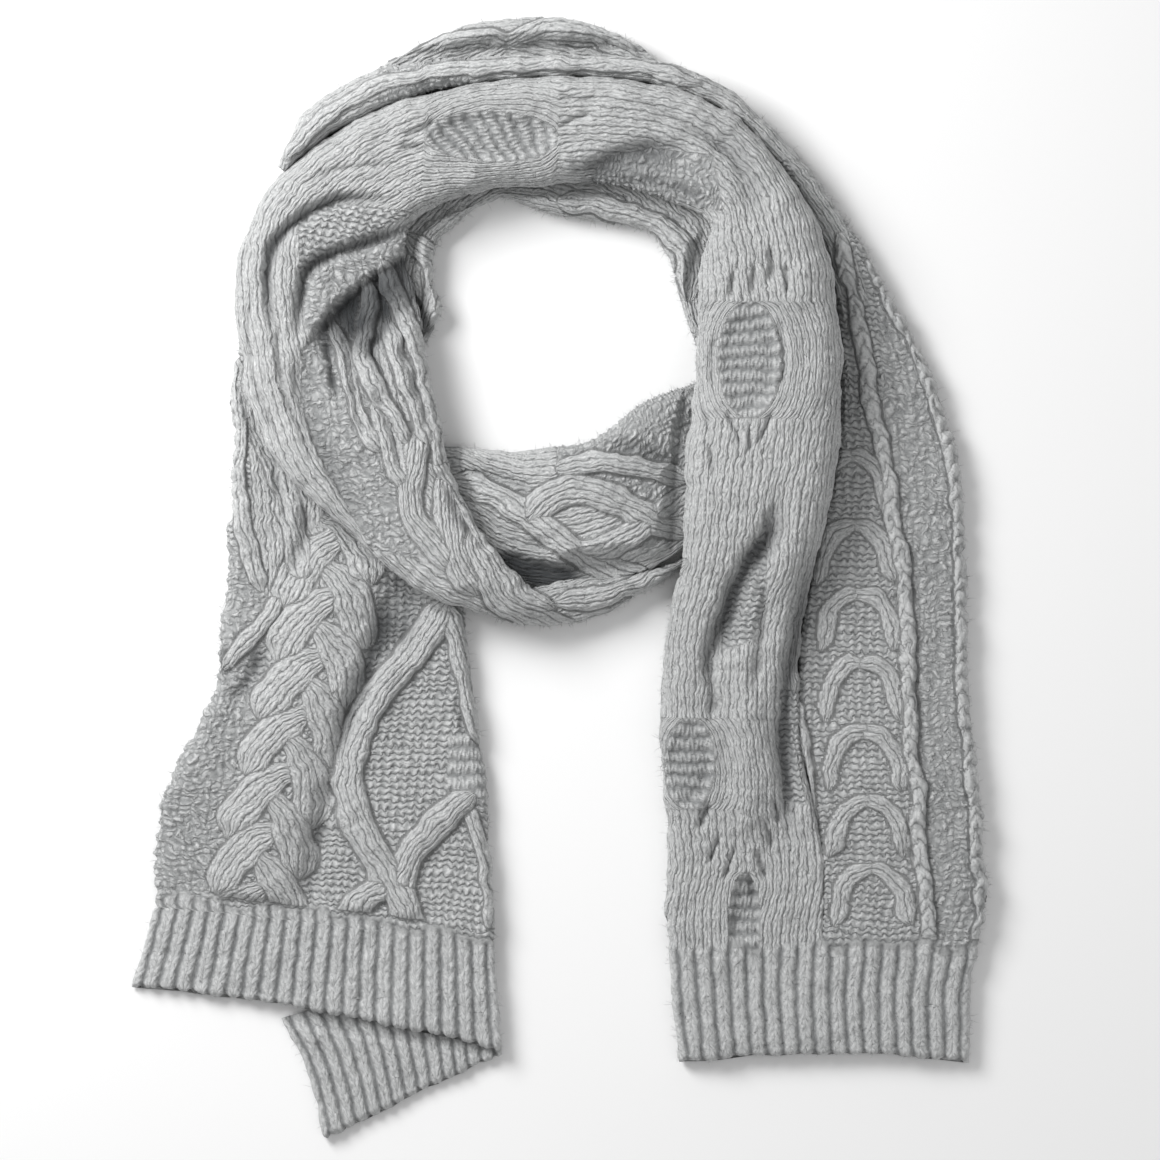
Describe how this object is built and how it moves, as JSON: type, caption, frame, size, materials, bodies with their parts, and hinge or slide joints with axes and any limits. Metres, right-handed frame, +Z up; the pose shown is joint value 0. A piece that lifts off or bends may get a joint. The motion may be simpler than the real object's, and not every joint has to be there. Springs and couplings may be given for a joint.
{
  "type": "knit scarf",
  "caption": "Cable-knit scarf laid flat, wound around an open neck loop, with both folded tails hanging side by side and ribbed ends",
  "frame": {"origin": "middle of the bounding box in plan, on the table that the scarf lies on", "axes": "+Y from the ribbed ends to the top of the neck loop, +X to the viewer's right, +Z up from the table"},
  "size_m": [0.4273, 0.5608, 0.043],
  "materials": {
    "wool_knit": "matte heather wool, cable knit",
    "wool_rib": "matte heather wool, ribbed"
  },
  "bodies": {
    "root": {"hem_left_under": "wool_rib", "hem_left": "wool_rib", "tail_left": "wool_knit", "neck_back": "wool_knit", "neck_front": "wool_knit", "wrap_left": "wool_knit", "wrap_top": "wool_knit", "wrap_right": "wool_knit", "tail_right": "wool_knit", "edge_top": "wool_knit", "edge_right": "wool_knit", "tail_right_edge": "wool_knit", "hem_right": "wool_rib"}
  },
  "joints": []
}
